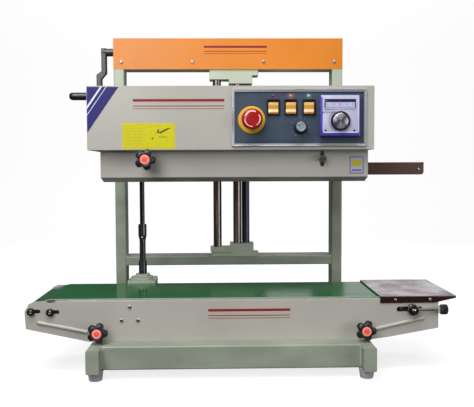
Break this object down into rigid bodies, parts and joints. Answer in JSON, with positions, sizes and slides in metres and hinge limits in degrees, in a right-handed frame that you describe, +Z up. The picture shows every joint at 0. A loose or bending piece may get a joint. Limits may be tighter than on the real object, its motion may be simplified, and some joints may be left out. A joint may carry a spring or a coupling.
{
  "type": "continuous band sealer",
  "caption": "Vertical continuous band sealer: a crank raises the sealing head above a flat belt conveyor with an infeed tray, all on a tubular stand.",
  "frame": {"origin": "on the floor, under the middle of the whole machine", "axes": "+X towards the infeed tray (the operator's right), +Y away from the operator, +Z up"},
  "size_m": [0.852, 0.45, 0.7166],
  "materials": {
    "frame_paint": "satin sage green enamel",
    "cover_paint": "satin orange enamel",
    "panel_paint": "fine textured warm grey enamel",
    "column_steel": "dark oiled steel",
    "shaft_steel": "blackened steel",
    "bright_steel": "machined",
    "tray_steel": "polished stainless sheet",
    "guide_steel": "dark brown oiled steel",
    "belt_green": "smooth glossy PVC",
    "knob_black": "fine textured",
    "stop_red": "glossy",
    "stop_yellow": "glossy",
    "rocker_amber": "translucent lit",
    "panel_aluminium": "brushed",
    "controller_blue": "satin",
    "dial_black": "satin",
    "foot_rubber": "matt",
    "band_tape": "coated glass cloth",
    "block_aluminium": "machined",
    "motor_paint": "dark enamel"
  },
  "bodies": {
    "frame": {"left_foot_tube": "frame_paint", "right_foot_tube": "frame_paint", "front_cross_tube": "frame_paint", "rear_cross_tube": "frame_paint", "rubber_feet": "foot_rubber", "left_upright": "frame_paint", "right_upright": "frame_paint", "middle_beam": "frame_paint", "top_housing": "frame_paint", "lift_cover": "cover_paint", "top_column_bracket": "frame_paint", "base_column_bracket": "frame_paint", "guide_columns": "column_steel", "conveyor_front_plate": "panel_paint", "conveyor_rear_plate": "panel_paint", "slider_bed": "bright_steel", "conveyor_belt": "belt_green", "belt_drive_housing": "frame_paint", "feed_tray": "tray_steel", "frame_fasteners": "bright_steel"},
    "head": {"head_case": "panel_paint", "head_base_plate": "panel_paint", "lower_front_cover": "panel_paint", "lower_rear_guard": "panel_paint", "infeed_guides": "guide_steel", "control_panel": "panel_aluminium", "temperature_controller": "controller_blue", "stop_collar": "stop_yellow", "switch_frames": "knob_black", "carriage": "frame_paint", "gear_motor": "motor_paint", "sealing_blocks": "block_aluminium", "sealing_bands": "band_tape"},
    "lead_screw": {"lead_screw": "shaft_steel"},
    "crank": {"crank": "shaft_steel"},
    "crank_grip": {"crank_grip": "knob_black"},
    "drive_roller": {"drive_roller": "bright_steel"},
    "drive_sleeve": {"drive_sleeve": "shaft_steel"},
    "drive_rod": {"drive_rod": "shaft_steel"},
    "nose_roller": {"nose_roller": "bright_steel"},
    "support_roller": {"support_roller": "bright_steel"},
    "tail_axle": {"tail_axle": "bright_steel"},
    "tail_roller": {"tail_roller": "bright_steel"},
    "tension_knob": {"tension_knob": "shaft_steel"},
    "front_drive_wheel": {"front_drive_wheel": "bright_steel"},
    "rear_drive_wheel": {"rear_drive_wheel": "bright_steel"},
    "front_idler_wheel": {"front_idler_wheel": "bright_steel"},
    "rear_idler_wheel": {"rear_idler_wheel": "bright_steel"},
    "front_press_roller": {"front_press_roller": "bright_steel"},
    "rear_press_roller": {"rear_press_roller": "bright_steel"},
    "stop_button": {"stop_button": "stop_red"},
    "left_rocker": {"left_rocker": "rocker_amber"},
    "middle_rocker": {"middle_rocker": "rocker_amber"},
    "right_rocker": {"right_rocker": "rocker_amber"},
    "speed_knob": {"speed_knob": "knob_black"},
    "temperature_dial": {"temperature_dial": "dial_black"},
    "pressure_knob": {"pressure_knob": "knob_black"},
    "thumb_screw": {"thumb_screw": "shaft_steel"},
    "left_lock_knob": {"left_lock_knob": "knob_black"},
    "right_lock_knob": {"right_lock_knob": "knob_black"}
  },
  "joints": [
    {"name": "head_lift", "type": "slide", "parent": "frame", "child": "head", "axis": [0, 0, 1], "range_m": [-0.09, 0.04]},
    {"name": "crank_turn", "type": "hinge", "parent": "frame", "child": "crank", "pos_m": [0, 0.183, 0.688], "axis": [1, 0, 0], "range_deg": [-6490, 2890]},
    {"name": "lead_screw_turn", "type": "hinge", "parent": "frame", "child": "lead_screw", "pos_m": [0.0205, 0.183, 0.4], "axis": [0, 0, 1], "range_deg": [-2890, 6490]},
    {"name": "crank_grip_spin", "type": "hinge", "parent": "crank", "child": "crank_grip", "pos_m": [-0.37, 0.183, 0.5825], "axis": [1, 0, 0], "continuous": true},
    {"name": "drive_roller_spin", "type": "hinge", "parent": "frame", "child": "drive_roller", "pos_m": [-0.22, 0, 0.117], "axis": [0, 1, 0], "continuous": true},
    {"name": "tail_slide", "type": "slide", "parent": "frame", "child": "tail_axle", "axis": [1, 0, 0], "range_m": [-0.012, 0]},
    {"name": "tension_turn", "type": "hinge", "parent": "frame", "child": "tension_knob", "pos_m": [0.4, -0.163, 0.1254], "axis": [1, 0, 0], "range_deg": [-1, 4325]},
    {"name": "drive_sleeve_spin", "type": "hinge", "parent": "frame", "child": "drive_sleeve", "pos_m": [-0.22, 0.067, 0.2], "axis": [0, 0, 1], "continuous": true},
    {"name": "drive_rod_spin", "type": "hinge", "parent": "head", "child": "drive_rod", "pos_m": [-0.22, 0.067, 0.4], "axis": [0, 0, 1], "continuous": true},
    {"name": "front_drive_wheel_spin", "type": "hinge", "parent": "head", "child": "front_drive_wheel", "pos_m": [-0.225, -0.0872, 0.42], "axis": [0, 0, 1], "continuous": true},
    {"name": "rear_drive_wheel_spin", "type": "hinge", "parent": "head", "child": "rear_drive_wheel", "pos_m": [-0.225, -0.0348, 0.42], "axis": [0, 0, 1], "continuous": true},
    {"name": "front_idler_wheel_spin", "type": "hinge", "parent": "head", "child": "front_idler_wheel", "pos_m": [0.205, -0.0872, 0.42], "axis": [0, 0, 1], "continuous": true},
    {"name": "rear_idler_wheel_spin", "type": "hinge", "parent": "head", "child": "rear_idler_wheel", "pos_m": [0.205, -0.0348, 0.42], "axis": [0, 0, 1], "continuous": true},
    {"name": "front_press_roller_spin", "type": "hinge", "parent": "head", "child": "front_press_roller", "pos_m": [-0.16, -0.08135, 0.42], "axis": [0, 0, 1], "continuous": true},
    {"name": "rear_press_roller_spin", "type": "hinge", "parent": "head", "child": "rear_press_roller", "pos_m": [-0.16, -0.04065, 0.42], "axis": [0, 0, 1], "continuous": true},
    {"name": "nose_roller_spin", "type": "hinge", "parent": "frame", "child": "nose_roller", "pos_m": [-0.413, 0, 0.1268], "axis": [0, 1, 0], "continuous": true},
    {"name": "support_roller_spin", "type": "hinge", "parent": "frame", "child": "support_roller", "pos_m": [-0.3756, 0, 0.1254], "axis": [0, 1, 0], "continuous": true},
    {"name": "tail_roller_spin", "type": "hinge", "parent": "tail_axle", "child": "tail_roller", "pos_m": [0.339, 0, 0.1254], "axis": [0, 1, 0], "continuous": true},
    {"name": "stop_press", "type": "slide", "parent": "head", "child": "stop_button", "axis": [0, 1, 0], "range_m": [0, 0.005], "stiffness_N_per_m": 600, "springref_m": -0.002},
    {"name": "left_rocker_tilt", "type": "hinge", "parent": "head", "child": "left_rocker", "pos_m": [0.0608, -0.183, 0.5217], "axis": [1, 0, 0], "range_deg": [-20, 0]},
    {"name": "middle_rocker_tilt", "type": "hinge", "parent": "head", "child": "middle_rocker", "pos_m": [0.0943, -0.183, 0.5217], "axis": [1, 0, 0], "range_deg": [-20, 0]},
    {"name": "right_rocker_tilt", "type": "hinge", "parent": "head", "child": "right_rocker", "pos_m": [0.1287, -0.183, 0.5217], "axis": [1, 0, 0], "range_deg": [-20, 0]},
    {"name": "speed_turn", "type": "hinge", "parent": "head", "child": "speed_knob", "pos_m": [0.1124, -0.19, 0.484], "axis": [0, -1, 0], "range_deg": [-150, 150]},
    {"name": "temperature_turn", "type": "hinge", "parent": "head", "child": "temperature_dial", "pos_m": [0.1866, -0.2, 0.4945], "axis": [0, -1, 0], "range_deg": [-150, 150]},
    {"name": "pressure_turn", "type": "hinge", "parent": "head", "child": "pressure_knob", "pos_m": [-0.1838, -0.19, 0.4233], "axis": [0, -1, 0], "range_deg": [-180, 720]},
    {"name": "thumb_screw_turn", "type": "hinge", "parent": "head", "child": "thumb_screw", "pos_m": [0.1588, -0.165, 0.4243], "axis": [0, -1, 0], "range_deg": [0, 720]},
    {"name": "left_lock_turn", "type": "hinge", "parent": "frame", "child": "left_lock_knob", "pos_m": [-0.281, -0.18, 0.089], "axis": [0, -1, 0], "range_deg": [0, 720]},
    {"name": "right_lock_turn", "type": "hinge", "parent": "frame", "child": "right_lock_knob", "pos_m": [0.2408, -0.18, 0.089], "axis": [0, -1, 0], "range_deg": [0, 720]}
  ],
  "couplings": [
    {"joint": "crank_turn", "follows": "head_lift", "rad_per_m": 1256.6},
    {"joint": "lead_screw_turn", "follows": "head_lift", "rad_per_m": -1256.6},
    {"joint": "tension_turn", "follows": "tail_slide", "rad_per_m": -6283.2},
    {"joint": "drive_sleeve_spin", "follows": "drive_roller_spin", "ratio": -1},
    {"joint": "drive_rod_spin", "follows": "drive_roller_spin", "ratio": -1},
    {"joint": "front_drive_wheel_spin", "follows": "drive_roller_spin", "ratio": -1},
    {"joint": "rear_drive_wheel_spin", "follows": "drive_roller_spin", "ratio": 1},
    {"joint": "front_idler_wheel_spin", "follows": "drive_roller_spin", "ratio": -1},
    {"joint": "rear_idler_wheel_spin", "follows": "drive_roller_spin", "ratio": 1},
    {"joint": "front_press_roller_spin", "follows": "drive_roller_spin", "ratio": -1.3},
    {"joint": "rear_press_roller_spin", "follows": "drive_roller_spin", "ratio": 1.3},
    {"joint": "nose_roller_spin", "follows": "drive_roller_spin", "ratio": 2.1818},
    {"joint": "support_roller_spin", "follows": "drive_roller_spin", "ratio": 1.1163},
    {"joint": "tail_roller_spin", "follows": "drive_roller_spin", "ratio": 1.1163}
  ]
}
